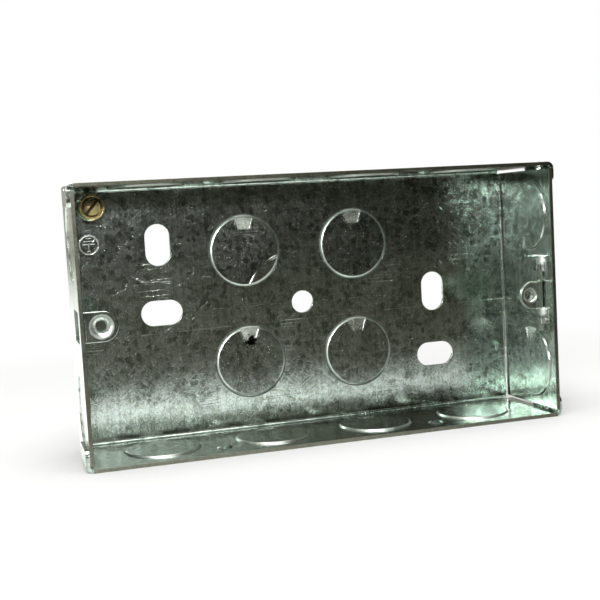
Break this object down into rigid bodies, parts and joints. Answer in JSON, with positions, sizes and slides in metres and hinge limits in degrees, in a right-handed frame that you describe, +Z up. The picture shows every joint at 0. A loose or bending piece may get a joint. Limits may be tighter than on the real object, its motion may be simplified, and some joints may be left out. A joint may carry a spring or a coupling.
{
  "type": "flush back box",
  "caption": "Shallow open-fronted steel wall box, long and rectangular, with round knockouts, fixing slots, a fixed and a sliding screw lug and a brass earth terminal.",
  "frame": {"origin": "centre of the middle fixing hole, in the plane of the back's rear face", "axes": "+X along the length towards the sliding lug, +Y back into the wall, +Z up; the open front faces -Y"},
  "size_m": [0.134, 0.03, 0.072],
  "materials": {
    "steel": "hot-dip galvanised, spangled, semi-gloss",
    "brass": "bright, a little tarnished"
  },
  "bodies": {
    "box": {"back_box": "steel", "earth_screw": "brass", "cup_washer": "brass"},
    "lug": {"adjustable_lug": "steel"}
  },
  "joints": [
    {"name": "lug_slide", "type": "slide", "parent": "box", "child": "lug", "axis": [0, 0, 1], "range_m": [-0.00005, 0.00285]}
  ]
}
